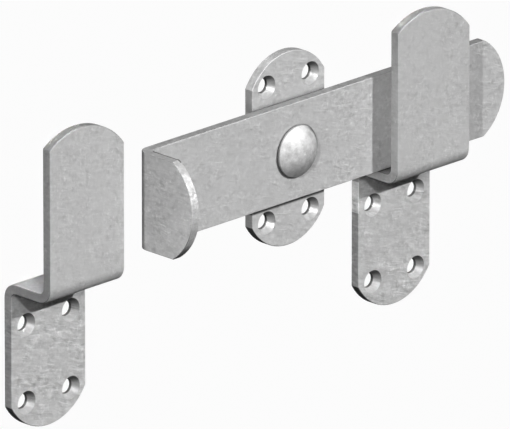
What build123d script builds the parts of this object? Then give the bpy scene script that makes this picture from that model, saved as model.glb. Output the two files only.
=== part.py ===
"""Kick-over stable door latch in galvanised 50 x 5 mm flat steel.

A flat kick bar turns on one rivet in a screw-on pivot plate.  Its long, round-ended arm
drops into the open-topped throat of a cranked keep; its short arm is folded forward into
a rounded foot flange.  A second keep of the same form stands on the other side.

Frame: origin on the pivot axis in the plane of the pivot plate's back face, which lies on
the door, +X along the bar towards its long arm, +Y into the door, +Z up.  The keeps' back
faces lie on the post, which stands KEEP_BACK behind the face of the door.  Millimetres.
"""
import math
import os

from build123d import *

# ---- driving dimensions -------------------------------------------------------------
FLAT_W = 50.0          # width of the flat steel used for every plate
FLAT_T = 5.0           # its thickness
BEND_IN = 1.5          # inside radius of the bar's fold
BEND_OUT = BEND_IN + FLAT_T
KEEP_BEND_IN = 3.0     # inside radius of the keeps' folds
KEEP_BEND_OUT = KEEP_BEND_IN + FLAT_T
EDGE_R = 0.5           # edges softened by the zinc coat
CORNER_R = 0.9         # corners where a round end meets a straight side
END_R = 28.8           # radius of the round plate ends

# screw holes, countersunk from the front
HOLE_R = 3.65
SINK_R = 6.0
SINK_SLOPE = math.tan(math.radians(30.0))   # 60 degree countersink
SINK_H = (SINK_R - HOLE_R) / SINK_SLOPE

# pivot plate
PLATE_H = 100.0
PLATE_HOLE_X = 15.0
PLATE_HOLE_Z = 35.0

# kick bar
BAR_GAP = 0.3          # running gap between the plate and the bar
BAR_LONG = 145.5       # pivot to the tip of the long arm
BAR_SHORT = 104.5      # pivot to the outer face of the foot flange
FLANGE_DEPTH = 38.5    # bar's back face to the flange's front
FLANGE_R = 30.0
PIVOT_BORE_R = 6.08

# pivot rivet
SHANK_R = 6.0
SPIGOT_R = 5.0
TAIL_SINK = 2.0        # depth of the countersink that takes the closed tail
HEAD_R = 13.2
HEAD_RIM = 1.2
HEAD_DOME = 5.0
HEAD_GAP = 0.3

# keeps
KEEP_BACK = 9.2        # the keeps' mounting plane behind the pivot plate's
KEEP_DEPTH = 32.0      # a keep's mounting plane to the front of its upright tab
SEAT_GAP = 0.2         # bar's lower edge above the shelf at rest
KEEP_LEG = 78.7        # shelf top to the lowest point of the fixing leg
KEEP_HOLE_LOW = 63.5   # shelf top to the lower pair of holes
KEEP_HOLE_UP = 23.5    # shelf top to the upper pair of holes
KEEP_HOLE_X = 15.0     # half the spacing of the holes
TAB_LEFT = 74.4        # shelf top to the tab's left shoulder
TAB_TOP = 81.3         # shelf top to the crown of the tab
TAB_RIGHT = 66.6       # shelf top to the tab's right shoulder
TAB_CROWN_X = 21.0     # crown of the tab from its left edge
RIGHT_KEEP_X = 58.0    # left edge of the keep that holds the long arm
LEFT_KEEP_X = -179.8   # left edge of the other keep
LEFT_KEEP_DROP = 1.8   # and how much lower it stands

# ---- derived ------------------------------------------------------------------------
BAR_BACK = -(FLAT_T + BAR_GAP)
BAR_FRONT = BAR_BACK - FLAT_T
HALF = FLAT_W / 2
SHELF_Z = -HALF - SEAT_GAP


def sag(radius, half_chord=HALF):
    return radius - math.sqrt(radius**2 - half_chord**2)


def screw_hole(x, z):
    """Through hole with a 60 degree countersink in a plate whose front face is at -FLAT_T."""
    lead = 1.0
    drill = Cylinder(HOLE_R, 40.0)
    sink = Cone(HOLE_R, SINK_R + lead * SINK_SLOPE, SINK_H + lead, align=(Align.CENTER, Align.CENTER, Align.MIN))
    tool = drill + Pos(0, 0, -SINK_H) * sink
    return Pos(x, -FLAT_T, z) * Rot(90, 0, 0) * tool


def prism_xz(sketch_face, y_back, y_front):
    """Extrudes a face drawn on XZ from y_back to y_front (y_front < y_back)."""
    return extrude(Plane.XZ.offset(-y_back) * sketch_face, amount=y_back - y_front)


def outline(edges):
    return make_face(Wire(edges))


def straight(p, q):
    return Line(p, q)


def through_edges(solid, axis, tol=1e-3):
    """Straight edges that run along an axis."""
    found = []
    for e in solid.edges().filter_by(GeomType.LINE):
        d = e.tangent_at(0.5)
        if abs(abs(d.dot(axis)) - 1) < tol:
            found.append(e)
    return found


# ---- pivot plate --------------------------------------------------------------------
def pivot_plate():
    s = sag(END_R)
    zc, zt = PLATE_H / 2 - s, PLATE_H / 2
    face = outline([
        straight((-HALF, -zc), (-HALF, zc)),
        ThreePointArc((-HALF, zc), (0, zt), (HALF, zc)),
        straight((HALF, zc), (HALF, -zc)),
        ThreePointArc((HALF, -zc), (0, -zt), (-HALF, -zc)),
    ])
    body = prism_xz(face, 0, -FLAT_T)
    body = fillet(through_edges(body, Vector(0, 1, 0)), CORNER_R)
    rims = [e for e in body.edges() if abs(e.center().Y) < 1e-4 or abs(e.center().Y + FLAT_T) < 1e-4]
    body = fillet(rims, EDGE_R)
    for x in (-PLATE_HOLE_X, PLATE_HOLE_X):
        for z in (-PLATE_HOLE_Z, PLATE_HOLE_Z):
            body = body - screw_hole(x, z)
    bore = Pos(0, -FLAT_T / 2, 0) * Rot(90, 0, 0) * Cylinder(SPIGOT_R, 3 * FLAT_T)
    lead = 1.0
    sink = Cone(SPIGOT_R, SPIGOT_R + TAIL_SINK + lead, TAIL_SINK + lead,
                align=(Align.CENTER, Align.CENTER, Align.MIN))
    body = body - bore - Pos(0, -TAIL_SINK, 0) * Rot(-90, 0, 0) * sink
    return body


# ---- kick bar -----------------------------------------------------------------------
def kick_bar():
    # plan section: flat bar with its short end folded forward
    pts = [
        (BAR_LONG + 5, BAR_BACK), (-BAR_SHORT, BAR_BACK),
        (-BAR_SHORT, BAR_BACK - FLANGE_DEPTH - 5), (-BAR_SHORT + FLAT_T, BAR_BACK - FLANGE_DEPTH - 5),
        (-BAR_SHORT + FLAT_T, BAR_FRONT), (BAR_LONG + 5, BAR_FRONT),
    ]
    section = make_face(Polyline(*pts, close=True))
    outer = [v for v in section.vertices() if (Vector(v.X, v.Y) - Vector(-BAR_SHORT, BAR_BACK)).length < 1e-6]
    section = fillet(outer, BEND_OUT)
    inner = [v for v in section.vertices() if (Vector(v.X, v.Y) - Vector(-BAR_SHORT + FLAT_T, BAR_FRONT)).length < 1e-6]
    section = fillet(inner, BEND_IN)
    body = Pos(0, 0, -HALF) * extrude(section, amount=FLAT_W)

    # round tip of the long arm
    s = sag(END_R)
    tip = outline([
        straight((-BAR_SHORT - 5, -HALF), (-BAR_SHORT - 5, HALF)),
        straight((-BAR_SHORT - 5, HALF), (BAR_LONG - s, HALF)),
        ThreePointArc((BAR_LONG - s, HALF), (BAR_LONG, 0), (BAR_LONG - s, -HALF)),
        straight((BAR_LONG - s, -HALF), (-BAR_SHORT - 5, -HALF)),
    ])
    body = body & prism_xz(tip, 5, BAR_BACK - FLANGE_DEPTH - 10)

    # round front of the foot flange
    f = sag(FLANGE_R)
    y1 = BAR_BACK - FLANGE_DEPTH
    nose = outline([
        straight((5, -HALF), (5, HALF)),
        straight((5, HALF), (y1 + f, HALF)),
        ThreePointArc((y1 + f, HALF), (y1, 0), (y1 + f, -HALF)),
        straight((y1 + f, -HALF), (5, -HALF)),
    ])
    nose_prism = Pos(-BAR_SHORT - 10, 0, 0) * extrude(Plane.YZ * nose, amount=BAR_SHORT + BAR_LONG + 30)
    body = body & nose_prism

    corners = [e for e in through_edges(body, Vector(0, 1, 0)) if abs(e.center().X - (BAR_LONG - s)) < 0.01]
    corners += [e for e in through_edges(body, Vector(1, 0, 0)) if abs(e.center().Y - (y1 + f)) < 0.01]
    body = fillet(corners, CORNER_R)
    sharp = sharp_edges(body)
    body = fillet(sharp, EDGE_R)
    bore = Pos(0, BAR_BACK - FLAT_T / 2, 0) * Rot(90, 0, 0) * Cylinder(PIVOT_BORE_R, 3 * FLAT_T)
    return body - bore


def sharp_edges(solid, limit_deg=25.0):
    """Edges where the two faces meet at a clear angle."""
    found = []
    faces = solid.faces()
    for e in solid.edges():
        mid = e.position_at(0.5)
        near = [f for f in faces if any(e.is_same(g) for g in f.edges())]
        if len(near) != 2:
            continue
        n0, n1 = near[0].normal_at(mid), near[1].normal_at(mid)
        if n0.get_angle(n1) > limit_deg:
            found.append(e)
    return found


# ---- pivot rivet --------------------------------------------------------------------
def pivot_rivet():
    under = BAR_FRONT - HEAD_GAP
    rim = under - HEAD_RIM
    crown = rim - HEAD_DOME
    sphere = (HEAD_R**2 + HEAD_DOME**2) / (2 * HEAD_DOME)
    centre = crown + sphere
    half = math.asin(HEAD_R / sphere) / 2
    tail = -0.15
    tail_r = SPIGOT_R + TAIL_SINK + tail
    section = make_face(Wire([
        Line((0, tail), (tail_r, tail)),
        Line((tail_r, tail), (SPIGOT_R, -TAIL_SINK)),
        Line((SPIGOT_R, -TAIL_SINK), (SPIGOT_R, -FLAT_T)),
        Line((SPIGOT_R, -FLAT_T), (SHANK_R, -FLAT_T)),
        Line((SHANK_R, -FLAT_T), (SHANK_R, under)),
        Line((SHANK_R, under), (HEAD_R, under)),
        Line((HEAD_R, under), (HEAD_R, rim)),
        ThreePointArc((HEAD_R, rim), (sphere * math.sin(half), centre - sphere * math.cos(half)), (0, crown)),
        Line((0, crown), (0, tail)),
    ]))
    body = revolve(section, Axis.Y, 360)
    rims = [e for e in body.edges().filter_by(GeomType.CIRCLE)
            if abs(e.radius - HEAD_R) < 1e-4]
    return fillet(rims, 0.35)


# ---- keeps --------------------------------------------------------------------------
def keep(x_left, drop=0.0):
    z0 = SHELF_Z
    low = z0 - KEEP_LEG
    high = z0 + TAB_TOP
    pts = [
        (0, low - 5), (0, z0), (-(KEEP_DEPTH - FLAT_T), z0), (-(KEEP_DEPTH - FLAT_T), high + 5),
        (-KEEP_DEPTH, high + 5), (-KEEP_DEPTH, z0 - FLAT_T), (-FLAT_T, z0 - FLAT_T), (-FLAT_T, low - 5),
    ]
    section = make_face(Polyline(*pts, close=True))

    def at(face, y, z):
        return [v for v in face.vertices() if abs(v.X - y) < 1e-6 and abs(v.Y - z) < 1e-6]

    section = fillet(at(section, 0, z0) + at(section, -KEEP_DEPTH, z0 - FLAT_T), KEEP_BEND_OUT)
    section = fillet(at(section, -(KEEP_DEPTH - FLAT_T), z0) + at(section, -FLAT_T, z0 - FLAT_T), KEEP_BEND_IN)
    body = extrude(Plane.YZ * section, amount=FLAT_W)

    s = sag(END_R)
    left, right = z0 + TAB_LEFT, z0 + TAB_RIGHT
    shape = outline([
        straight((0, low + s), (0, left)),
        ThreePointArc((0, left), (TAB_CROWN_X, high), (FLAT_W, right)),
        straight((FLAT_W, right), (FLAT_W, low + s)),
        ThreePointArc((FLAT_W, low + s), (HALF, low), (0, low + s)),
    ])
    body = body & prism_xz(shape, 5, -KEEP_DEPTH - 5)

    corners = [e for e in through_edges(body, Vector(0, 1, 0)) if abs(e.length - FLAT_T) < 0.01]
    body = fillet(corners, CORNER_R)
    body = fillet(sharp_edges(body), EDGE_R)
    for x in (HALF - KEEP_HOLE_X, HALF + KEEP_HOLE_X):
        for z in (z0 - KEEP_HOLE_UP, z0 - KEEP_HOLE_LOW):
            body = body - screw_hole(x, z)
    return Pos(x_left, KEEP_BACK, -drop) * body


def main():
    os.makedirs("parts", exist_ok=True)
    nodes = {
        "pivot_plate": pivot_plate(),
        "kick_bar": kick_bar(),
        "pivot_rivet": pivot_rivet(),
        "left_keep": keep(LEFT_KEEP_X, LEFT_KEEP_DROP),
        "right_keep": keep(RIGHT_KEEP_X),
    }
    for name, shape in nodes.items():
        solids = shape.solids()
        print(name, "solids", len(solids), "volume", round(sum(s.volume for s in solids), 1))
        export_step(solids[0] if len(solids) == 1 else Compound(children=list(solids)), f"parts/{name}.step")


if __name__ == "__main__":
    main()
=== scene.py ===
import math

import bpy
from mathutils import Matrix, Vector

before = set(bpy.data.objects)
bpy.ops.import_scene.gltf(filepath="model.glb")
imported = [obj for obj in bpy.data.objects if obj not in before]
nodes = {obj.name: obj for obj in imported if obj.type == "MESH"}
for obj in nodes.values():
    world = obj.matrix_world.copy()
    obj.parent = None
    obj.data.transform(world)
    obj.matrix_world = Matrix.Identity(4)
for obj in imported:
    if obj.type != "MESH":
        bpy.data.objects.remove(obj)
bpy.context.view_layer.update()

scene = bpy.context.scene


# ---- small helpers for shader nodes ---------------------------------------------------
class Net:
    """Short calls that add nodes to one node tree and give back their output sockets."""

    def __init__(self, tree):
        self.tree = tree
        tree.nodes.clear()

    def node(self, kind, **settings):
        n = self.tree.nodes.new(kind)
        for key, value in settings.items():
            setattr(n, key, value)
        return n

    def feed(self, socket, value):
        if isinstance(value, bpy.types.NodeSocket):
            self.tree.links.new(value, socket)
        else:
            socket.default_value = value

    def math(self, op, a, b=None, clamp=False):
        n = self.node("ShaderNodeMath", operation=op, use_clamp=clamp)
        self.feed(n.inputs[0], a)
        if b is not None:
            self.feed(n.inputs[1], b)
        return n.outputs[0]

    def add(self, *terms):
        total = terms[0]
        for t in terms[1:]:
            total = self.math("ADD", total, t)
        return total

    def times(self, a, b):
        return self.math("MULTIPLY", a, b)

    def about(self, value, amount, middle=0.5):
        """amount * (value - middle)"""
        return self.math("MULTIPLY", self.math("SUBTRACT", value, middle), amount)

    def step(self, value, lo, hi, out_lo=0.0, out_hi=1.0):
        n = self.node("ShaderNodeMapRange", interpolation_type="SMOOTHSTEP", clamp=True)
        for i, v in enumerate((value, lo, hi, out_lo, out_hi)):
            self.feed(n.inputs[i], v)
        return n.outputs[0]

    def vec(self, op, a, b=None, scale=None):
        n = self.node("ShaderNodeVectorMath", operation=op)
        self.feed(n.inputs[0], a)
        if b is not None:
            self.feed(n.inputs[1], b)
        if scale is not None:
            self.feed(n.inputs["Scale"], scale)
        return n.outputs["Value"] if op in ("DOT_PRODUCT", "LENGTH", "DISTANCE") else n.outputs["Vector"]

    def split(self, vector):
        n = self.node("ShaderNodeSeparateXYZ")
        self.feed(n.inputs[0], vector)
        return n.outputs

    def noise(self, vector, scale, detail=3.0, rough=0.55, out="Fac"):
        n = self.node("ShaderNodeTexNoise")
        self.feed(n.inputs["Vector"], vector)
        n.inputs["Scale"].default_value = scale
        n.inputs["Detail"].default_value = detail
        n.inputs["Roughness"].default_value = rough
        return n.outputs[out]

    def cells(self, vector, scale, feature="F1"):
        n = self.node("ShaderNodeTexVoronoi", feature=feature)
        self.feed(n.inputs["Vector"], vector)
        n.inputs["Scale"].default_value = scale
        return n.outputs

    def grey(self, value):
        n = self.node("ShaderNodeCombineColor")
        for i in range(3):
            self.feed(n.inputs[i], value)
        return n.outputs[0]


def principled(net):
    out = net.node("ShaderNodeOutputMaterial")
    bsdf = net.node("ShaderNodeBsdfPrincipled")
    net.tree.links.new(bsdf.outputs[0], out.inputs["Surface"])
    return bsdf


def wear_mask(net, radius):
    """1 on edges and corners, 0 on the faces between them."""
    bevel = net.node("ShaderNodeBevel", samples=6)
    bevel.inputs["Radius"].default_value = radius
    geo = net.node("ShaderNodeNewGeometry")
    dot = net.vec("DOT_PRODUCT", bevel.outputs[0], geo.outputs["Normal"])
    return net.step(dot, 0.995, 0.90)


def occlusion_shade(net, reach):
    """Painted shade from ambient occlusion: darker in corners, under edges and round the rivet's head."""
    ao = net.node("ShaderNodeAmbientOcclusion", samples=8)
    ao.inputs["Distance"].default_value = reach
    return net.step(ao.outputs["AO"], 0.20, 0.80, 0.28, 1.0)


# ---- cut edges: where a piece shows the sheared side of the flat, with painted shade, shadow and light ---
def band(net, value, lo, hi):
    """1 where lo < value < hi."""
    return net.times(net.math("GREATER_THAN", value, lo), net.math("LESS_THAN", value, hi))


def blend(net, mask, factor):
    """1 where mask is 0, factor where mask is 1."""
    return net.math("SUBTRACT", 1.0, net.times(mask, net.math("SUBTRACT", 1.0, factor)))


def edge_facing_shade(net, nz, up, side, down):
    """Tone of a cut edge: a duller sheared edge, with painted shade by the way it faces: up, sideways or down."""
    return net.times(net.step(nz, 0.03, 0.30, side, up), net.step(nz, -0.35, -0.03, net.math("DIVIDE", down, side), 1.0))


def sunk(net, x, z, half_x, half_z, nz):
    """Mask of the four countersinks that stand half_x, half_z about a middle, and their painted shade and
    highlight: dark at the top and along the land, bright below.
    """
    dx = net.math("SUBTRACT", net.math("ABSOLUTE", x), half_x)
    dz = net.math("SUBTRACT", net.math("ABSOLUTE", z), half_z)
    r = net.math("SQRT", net.math("ADD", net.times(dx, dx), net.times(dz, dz)))
    hole = net.step(r, 0.0062, 0.0058)
    land = net.step(r, 0.0040, 0.0038)
    painted_shade_and_highlight = net.times(net.step(nz, -0.80, 0.05, 0.10, 0.58), net.step(nz, 0.05, 0.45, 1.0, 1.55))
    return hole, net.times(blend(net, hole, painted_shade_and_highlight), blend(net, land, 0.25))


def outer_line(net, ny):
    """1 on the rounded rear corner of a cut edge."""
    return net.times(net.step(ny, 0.05, 0.30), net.step(ny, 0.97, 0.85))


def arris(net, n):
    """1 on the rounded front corner along the top of a cut edge."""
    return net.times(net.step(n[2], 0.06, 0.25), net.times(net.step(n[1], -0.30, -0.60), net.step(net.math("ABSOLUTE", n[0]), 0.95, 0.80)))


def cut_plate(net, pos, nrm):
    n, p = net.split(nrm), net.split(pos)
    hole, hole_painted_shading = sunk(net, p[0], p[2], 0.015, 0.035, n[2])
    edge = net.times(net.step(net.math("ABSOLUTE", n[1]), 0.985, 0.70), net.math("SUBTRACT", 1.0, hole))
    # painted shade on the cut edges by the way they face
    tone = blend(net, edge, edge_facing_shade(net, n[2], 0.64, 0.64, net.step(n[0], -0.20, 0.10, 0.16, 1.0)))
    # painted light: the shoulder at the upper left is brighter; painted shadow: the side below the bar is duller
    shoulder = net.times(net.step(n[0], -0.25, -0.45), net.step(n[2], 0.20, 0.40))
    tone = net.times(tone, net.math("ADD", 1.0, net.times(net.times(edge, shoulder), 0.36)))
    painted_low_shade = net.times(edge, net.step(p[2], -0.020, -0.024))
    tone = net.times(tone, blend(net, painted_low_shade, 0.72))
    # painted shade on the rounded rear corner, and painted shade that dims the highlight on the front corner
    tone = net.times(tone, blend(net, outer_line(net, n[1]), 0.45))
    tone = net.times(tone, blend(net, net.times(arris(net, n), net.math("SUBTRACT", 1.0, hole)), 0.90))
    # painted shadow along the bar: a black line below it, a soft grey one above
    front = net.math("LESS_THAN", p[1], -0.0008)
    below = net.times(front, net.times(net.step(p[2], -0.0292, -0.0282), net.step(p[2], -0.0254, -0.0264)))
    above = net.times(front, net.times(net.step(p[2], 0.0300, 0.0250), net.step(p[2], 0.0225, 0.0245)))
    tone = net.times(tone, net.times(blend(net, below, 0.20), blend(net, above, 0.78)))
    return edge, net.times(net.times(tone, hole_painted_shading), 1.03)


def cut_keep(net, pos, nrm):
    n, p = net.split(nrm), net.split(pos)
    right = net.math("GREATER_THAN", p[0], -0.03)
    x = net.math("SUBTRACT", p[0], net.math("ADD", -0.1548, net.times(right, 0.2378)))
    z = net.math("SUBTRACT", p[2], net.math("ADD", -0.0705, net.times(right, 0.0018)))
    hole, hole_painted_shading = sunk(net, x, z, 0.015, 0.020, n[2])
    clear = net.math("SUBTRACT", 1.0, hole)
    face = net.math("ABSOLUTE", n[1])
    side = net.times(net.times(clear, net.step(face, 0.75, 0.35)), net.step(net.math("ABSOLUTE", n[0]), 0.35, 0.70))
    ends = net.math("ADD", net.math("GREATER_THAN", p[2], 0.020), net.math("LESS_THAN", p[2], -0.078), clamp=True)
    rim = net.times(net.times(ends, net.step(net.math("ABSOLUTE", n[2]), 0.08, 0.25)), net.times(clear, net.step(face, 0.985, 0.70)))
    edge = net.math("MAXIMUM", side, rim)
    # painted shade on the cut edges by the way they face, on their rear corner, and dimming the highlight on the
    # front corner
    tone = blend(net, edge, edge_facing_shade(net, n[2], 0.62, 0.74, net.step(n[0], -0.20, 0.10, 0.16, 1.0)))
    tone = net.times(tone, blend(net, net.times(ends, outer_line(net, n[1])), 0.45))
    tone = net.times(tone, blend(net, net.times(arris(net, n), net.times(ends, clear)), 0.87))
    # painted shade in the floor of the throat that the bar drops into
    throat = net.times(net.times(right, band(net, p[1], -0.0178, -0.0090)), net.times(band(net, p[2], -0.0290, -0.0170), net.step(n[2], 0.10, 0.40)))
    tone = net.times(tone, blend(net, throat, 0.38))
    # painted light: the empty keep's shelf is paler on top; painted shade: duller at its cut side
    shelf = net.times(net.math("SUBTRACT", 1.0, right), net.times(band(net, p[2], -0.0340, -0.0170), net.step(n[2], 0.45, 0.90)))
    tone = net.times(tone, blend(net, shelf, 1.36))
    crank = net.times(net.math("SUBTRACT", 1.0, right), net.times(net.step(n[0], -0.60, -0.90), net.times(net.step(p[2], -0.0420, -0.0340), net.step(p[2], -0.0120, -0.0190))))
    tone = net.times(tone, blend(net, crank, 0.86))
    # painted light: on the keep that holds the bar, the left side is brighter down to part of the leg
    painted_light_side = net.times(net.times(right, net.step(n[0], -0.35, -0.70)), net.math("GREATER_THAN", p[2], -0.0508))
    leg = net.math("LESS_THAN", p[2], -0.0345)
    tone = net.times(tone, net.math("ADD", 1.0, net.times(painted_light_side, net.math("ADD", 0.10, net.times(leg, 0.76)))))
    return edge, net.times(tone, hole_painted_shading)


def cut_bar(net, pos, nrm):
    n, p = net.split(nrm), net.split(pos)
    foot = net.math("LESS_THAN", p[0], -0.0935)
    arm = net.times(net.math("SUBTRACT", 1.0, foot), net.step(net.math("ABSOLUTE", n[1]), 0.995, 0.60))
    upright = net.times(foot, net.step(net.math("ABSOLUTE", n[2]), 0.06, 0.36))
    nose = net.times(net.times(foot, net.math("LESS_THAN", p[1], -0.0300)), net.step(net.math("ABSOLUTE", n[0]), 0.48, 0.25))
    fold = net.times(net.math("SUBTRACT", 1.0, nose), upright)
    # painted shade on the bar's long edges and the fold, by the way they face
    tone = net.times(blend(net, arm, 0.51), blend(net, fold, edge_facing_shade(net, n[2], 0.60, 0.6, 0.30)))
    # painted shade on the nose's lower side, and painted shade that dims its highlight above
    tone = net.times(tone, blend(net, nose, net.times(net.step(n[2], -0.66, -0.50, 0.40, 1.02), net.step(n[2], 0.20, 0.40, 1.0, 0.79))))
    speckle = net.about(net.noise(pos, 800.0, 1.0, 0.5), 0.5)
    tone = net.times(tone, net.math("ADD", 1.0, net.times(nose, speckle)))
    # painted light: the foot's outer face is a little paler
    tone = net.times(tone, blend(net, net.times(foot, net.step(n[0], -0.80, -0.95)), 1.06))
    # painted shade on the rear corner of the long edges and the back of the fold, and painted shade that dims the
    # highlight on the front corner
    tone = net.times(tone, blend(net, outer_line(net, n[1]), 0.45))
    tone = net.times(tone, blend(net, net.times(arris(net, n), net.math("SUBTRACT", 1.0, foot)), 0.84))
    # painted shade line along the inside of the fold's top
    painted_crease_shade = net.times(band(net, p[0], -0.1006, -0.0989), net.times(net.math("GREATER_THAN", p[2], 0.0240), net.math("LESS_THAN", p[1], -0.0125)))
    tone = net.times(tone, blend(net, painted_crease_shade, 0.3))
    # painted shadow round the rivet's head, wider below it and to its right
    r = net.math("SQRT", net.math("ADD", net.times(p[0], p[0]), net.times(p[2], p[2])))
    wide = net.math("MAXIMUM", net.step(p[2], 0.004, -0.010), net.step(p[0], 0.002, 0.011))
    painted_shadow_ring = net.times(net.math("LESS_THAN", p[1], -0.0095), net.step(net.math("SUBTRACT", r, net.times(wide, 0.0005)), 0.0138, 0.0133))
    tone = net.times(tone, blend(net, net.times(painted_shadow_ring, net.math("ADD", 0.2, net.times(wide, 0.8))), 0.35))
    return net.math("MAXIMUM", arm, fold), tone


# ---- how uneven the zinc lies, by place -----------------------------------------------
def even_plate(net, pos):
    return net.step(net.split(pos)[2], -0.05, 0.05, 1.00, 0.95), 1.2


def even_keep(net, pos):
    z = net.split(pos)[2]
    return net.step(z, -0.034, -0.028, 1.30, 1.05), net.step(z, -0.034, -0.028, 1.7, 0.9)


def even_bar(net, pos):
    x = net.split(pos)[0]
    amount = net.math("ADD", net.step(x, -0.03, 0.04, 0.84, 1.14), net.step(x, -0.0920, -0.0945, 0.0, 0.55))
    return amount, net.step(x, -0.03, 0.04, 0.95, 1.05)


# ---- hot-dip galvanised steel ---------------------------------------------------------
def galvanised(name, cut, uneven, offset):
    mat = bpy.data.materials.new(name)
    mat.use_nodes = True
    net = Net(mat.node_tree)
    bsdf = principled(net)
    coord = net.node("ShaderNodeTexCoord")
    pos, nrm = coord.outputs["Object"], coord.outputs["Normal"]
    here = net.vec("ADD", pos, offset)

    # zinc crystals with ragged borders
    ragged = net.vec("ADD", here, net.vec("SCALE", net.noise(here, 260.0, 3.0, 0.6, "Color"), scale=0.0035))
    crystal = net.split(net.cells(ragged, 210.0)["Color"])[0]
    # blotches, slow clouds, rolling streaks a little off the flat's length, fine grain
    blotch = net.noise(here, 480.0, 3.0, 0.5)
    cloud = net.noise(here, 42.0, 2.0, 0.5)
    slant = net.vec("ADD", here, net.vec("MULTIPLY", net.grey(net.split(here)[0]), (0.0, 0.0, 0.25)))
    slant = net.vec("ADD", slant, net.vec("SCALE", net.noise(here, 75.0, 1.0, 0.5, "Color"), scale=0.004))
    streak = net.noise(net.vec("MULTIPLY", slant, (240.0, 240.0, 800.0)), 1.0, 2.0, 0.5)
    grain = net.noise(here, 1400.0, 2.0, 0.5)
    # scattered dross pimples
    spots = net.cells(here, 125.0)
    chosen = net.math("GREATER_THAN", net.split(spots["Color"])[1], 0.66)
    size = net.times(net.split(spots["Color"])[2], 0.10)
    pimple = net.times(chosen, net.step(net.math("SUBTRACT", spots["Distance"], size), 0.14, 0.0))
    # short lying runs and strokes of zinc, dents and flecks, few and soft
    lying = net.noise(net.vec("MULTIPLY", slant, (190.0, 190.0, 430.0)), 1.0, 0.0, 0.5)
    run = net.step(lying, 0.32, 0.78)
    stroke = net.step(net.noise(net.vec("MULTIPLY", slant, (120.0, 120.0, 820.0)), 1.0, 0.0, 0.5), 0.60, 0.74)
    dent = net.step(net.noise(net.vec("ADD", here, (0.7, 0.2, 0.4)), 300.0, 0.0, 0.5), 0.55, 0.82)
    fleck = net.step(net.noise(net.vec("ADD", here, (0.3, 0.9, 0.1)), 640.0, 0.0, 0.5), 0.56, 0.84)

    # edge wear, partly a painted sheen: the edges are a little lighter
    wear_and_sheen = net.times(wear_mask(net, 0.0011), net.step(blotch, 0.30, 0.62, 0.25, 1.0))
    edge, shade = cut(net, pos, nrm)
    # painted shade from ambient occlusion in corners and under edges
    painted_occlusion = occlusion_shade(net, 0.0045)
    amount, lie = uneven(net, pos)
    patchy = net.step(net.noise(net.vec("ADD", here, (0.5, 0.6, 0.8)), 85.0, 1.0, 0.5), 0.36, 0.64, 0.65, 1.30)
    amount = net.times(net.times(amount, patchy), net.math("ADD", 1.0, net.times(edge, 0.3)))

    mottle = net.add(
        net.about(crystal, 0.022),
        net.about(blotch, 0.22),
        net.about(cloud, 0.012),
        net.times(net.about(streak, 0.23), lie),
        net.about(grain, 0.12),
        net.times(pimple, 0.06),
        net.times(net.about(run, 0.05), lie),
        net.times(fleck, 0.09),
        net.times(net.times(stroke, 0.03), lie),
        net.times(dent, -0.08),
    )
    tone = net.math("ADD", 1.0, net.times(mottle, amount))
    tone = net.times(net.times(tone, shade), painted_occlusion)
    tone = net.times(tone, net.math("ADD", 1.0, net.times(wear_and_sheen, 0.05)))
    net.feed(bsdf.inputs["Base Color"], net.grey(net.times(tone, 0.622)))

    rough = net.add(
        0.50,
        net.about(blotch, 0.26),
        net.about(crystal, 0.05),
        net.about(streak, 0.12),
        net.times(edge, 0.07),
        net.times(wear_and_sheen, 0.03),
    )
    net.feed(bsdf.inputs["Roughness"], net.math("MAXIMUM", rough, 0.2))
    bsdf.inputs["Metallic"].default_value = 0.5

    height = net.add(
        net.times(blotch, 0.42),
        net.times(net.times(streak, 0.40), lie),
        net.times(grain, 0.06),
        net.times(net.noise(here, 95.0, 1.0, 0.4), 0.08),
        net.times(pimple, 0.38),
        net.times(net.times(run, 0.22), lie),
        net.times(dent, -0.38),
        net.times(fleck, 0.16),
        net.times(net.times(stroke, 0.16), lie),
    )
    bump = net.node("ShaderNodeBump")
    bump.inputs["Strength"].default_value = 0.5
    bump.inputs["Distance"].default_value = 0.0003
    net.feed(bump.inputs["Height"], net.times(height, amount))
    net.feed(bsdf.inputs["Normal"], bump.outputs[0])
    return mat


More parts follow.
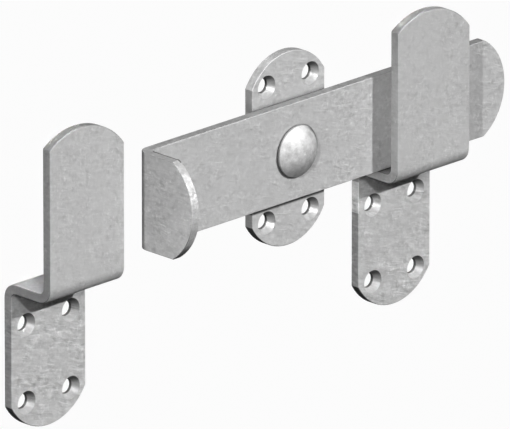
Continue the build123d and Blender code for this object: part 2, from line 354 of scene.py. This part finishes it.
def rivet_zinc(name):
    mat = bpy.data.materials.new(name)
    mat.use_nodes = True
    net = Net(mat.node_tree)
    bsdf = principled(net)
    pos = net.node("ShaderNodeTexCoord").outputs["Object"]
    blotch = net.noise(pos, 330.0, 4.0, 0.6)
    dimple = net.noise(pos, 190.0, 1.0, 0.4)
    grain = net.noise(pos, 1500.0, 2.0, 0.5)
    # edge wear, partly a painted sheen: the edges are a little lighter
    wear_and_sheen = wear_mask(net, 0.0008)
    # painted shade from ambient occlusion round the head
    painted_occlusion = occlusion_shade(net, 0.0028)
    # painted shadow on the head's rim, least at its top, and painted shade on its lower part
    p = net.split(pos)
    r = net.math("SQRT", net.math("ADD", net.times(p[0], p[0]), net.times(p[2], p[2])))
    rim = net.times(net.step(r, 0.0129, 0.0133), net.math("LESS_THAN", p[1], -0.0100))
    rim = net.times(rim, net.step(p[2], 0.0105, 0.002, 0.55, 1.0))
    far = net.times(net.step(r, 0.0110, 0.0127), net.step(p[0], 0.003, 0.009))
    rim = net.math("MAXIMUM", rim, net.times(far, net.math("LESS_THAN", p[1], -0.0100)))
    painted_low_shade = net.step(p[2], 0.000, -0.0115)
    tone = net.add(1.0, net.about(blotch, 0.95), net.about(grain, 0.25), net.times(wear_and_sheen, 0.05))
    tone = net.times(net.times(tone, painted_occlusion), net.times(blend(net, rim, 0.25), blend(net, painted_low_shade, 0.60)))
    net.feed(bsdf.inputs["Base Color"], net.grey(net.times(tone, 0.60)))
    net.feed(bsdf.inputs["Roughness"], net.add(0.60, net.about(blotch, 0.36), net.about(dimple, 0.16), net.times(wear_and_sheen, 0.04)))
    bsdf.inputs["Metallic"].default_value = 0.5
    bump = net.node("ShaderNodeBump")
    bump.inputs["Strength"].default_value = 0.5
    bump.inputs["Distance"].default_value = 0.0004
    net.feed(bump.inputs["Height"], net.add(net.times(blotch, 1.1), net.times(dimple, 1.2), net.times(grain, 0.08)))
    net.feed(bsdf.inputs["Normal"], bump.outputs[0])
    return mat


plate_mat = galvanised("galvanised_plate_finish", cut_plate, even_plate, (0.31, 0.17, 0.05))
bar_mat = galvanised("galvanised_bar_finish", cut_bar, even_bar, (0.0, 0.0, 0.0))
keep_mat = galvanised("galvanised_keep_finish", cut_keep, even_keep, (0.11, -0.23, 0.37))
rivet_mat = rivet_zinc("rivet_zinc_finish")
for name, mat in (
    ("pivot_plate", plate_mat),
    ("kick_bar", bar_mat),
    ("left_keep", keep_mat),
    ("right_keep", keep_mat),
    ("pivot_rivet", rivet_mat),
):
    for slot in nodes[name].material_slots:
        slot.material = mat


# ---- floor ----------------------------------------------------------------------------
floor_mesh = bpy.data.meshes.new("floor")
w = 30.0
floor_mesh.from_pydata([(-w, -w, 0), (w, -w, 0), (w, w, 0), (-w, w, 0)], [], [(0, 1, 2, 3)])
floor = bpy.data.objects.new("floor", floor_mesh)
floor.location = (0, 0, -0.55)
scene.collection.objects.link(floor)
floor_mat = bpy.data.materials.new("pale_floor")
floor_mat.use_nodes = True
net = Net(floor_mat.node_tree)
out = net.node("ShaderNodeOutputMaterial")
glow = net.node("ShaderNodeEmission")
glow.inputs["Color"].default_value = (0.972, 0.972, 0.972, 1)
net.tree.links.new(glow.outputs[0], out.inputs["Surface"])
floor_mesh.materials.append(floor_mat)
floor.visible_diffuse = False
floor.visible_glossy = False
floor.visible_transmission = False
floor.visible_shadow = False


# ---- light ----------------------------------------------------------------------------
def sun(name, travel, energy, angle_deg):
    data = bpy.data.lights.new(name, "SUN")
    data.energy = energy
    data.angle = math.radians(angle_deg)
    obj = bpy.data.objects.new(name, data)
    obj.rotation_mode = "QUATERNION"
    obj.rotation_quaternion = Vector(travel).to_track_quat("-Z", "Y")
    scene.collection.objects.link(obj)
    return obj


def group(name, members):
    coll = bpy.data.collections.new(name)
    for m in members:
        coll.objects.link(nodes[m])
    return coll


STILL = ("pivot_plate", "pivot_rivet", "left_keep", "right_keep")
MIDDLE = ("pivot_plate", "pivot_rivet", "kick_bar")
on_keeps = group("on_keeps", ("left_keep", "right_keep"))
on_middle = group("on_middle", MIDDLE)
past_bar = group("past_bar", STILL)
past_keeps = group("past_keeps", MIDDLE)


def linked(light, receivers, blockers=None):
    light.light_linking.receiver_collection = receivers
    if blockers:
        light.light_linking.blocker_collection = blockers


# key from the right, fill and side light from the left, set apart for the keeps and for
# the plate, bar and rivet between them; the side light passes the bar's foot, so the foot
# leaves no shadow along the bar
linked(sun("key_keeps", (-0.43, 1.0, -0.62), 2.58, 1.0), on_keeps)
linked(sun("key_middle", (-0.43, 1.0, -0.62), 2.74, 1.0), on_middle)
linked(sun("fill_keeps", (0.61, 1.0, -0.63), 1.64, 1.0), on_keeps)
linked(sun("fill_middle", (0.66, 1.0, -0.60), 0.57, 1.0), on_middle, past_keeps)
linked(sun("side_keeps", (1.80, 1.0, -1.0), 0.95, 1.0), on_keeps, past_bar)
linked(sun("side_middle", (1.80, 1.0, -1.0), 2.42, 1.0), on_middle, past_bar)
sun("top", (-0.18, -0.34, -1.0), 0.95, 6.0)
sun("behind", (0.60, -1.0, -0.25), 0.50, 10.0)

world = bpy.data.worlds.new("studio")
scene.world = world
world.use_nodes = True
net = Net(world.node_tree)
out = net.node("ShaderNodeOutputWorld")
up = net.split(net.node("ShaderNodeTexCoord").outputs["Generated"])[2]
soft = net.node("ShaderNodeBackground")
net.feed(soft.inputs["Color"], net.grey(net.step(up, -0.6, 0.6, 0.024, 0.12)))
plain = net.node("ShaderNodeBackground")
plain.inputs["Color"].default_value = (0.972, 0.972, 0.972, 1)
pick = net.node("ShaderNodeMixShader")
net.feed(pick.inputs[0], net.node("ShaderNodeLightPath").outputs["Is Camera Ray"])
net.tree.links.new(soft.outputs[0], pick.inputs[1])
net.tree.links.new(plain.outputs[0], pick.inputs[2])
net.tree.links.new(pick.outputs[0], out.inputs["Surface"])


# ---- camera ---------------------------------------------------------------------------
cam_data = bpy.data.cameras.new("camera")
cam_data.lens = 1300.0
cam_data.sensor_width = 36.0
cam_data.clip_start = 0.1
cam_data.clip_end = 100.0
cam = bpy.data.objects.new("camera", cam_data)
scene.collection.objects.link(cam)
az, el, away = math.radians(-44.994), math.radians(19.505), 8.9725
back = Vector((math.sin(az) * math.cos(el), -math.cos(az) * math.cos(el), math.sin(el)))
cam.location = Vector((-0.018028, 0.0, -0.031016)) + back * away
cam.rotation_mode = "QUATERNION"
cam.rotation_quaternion = (-back).to_track_quat("-Z", "Y")
scene.camera = cam

scene.view_settings.view_transform = "Standard"
scene.view_settings.look = "None"
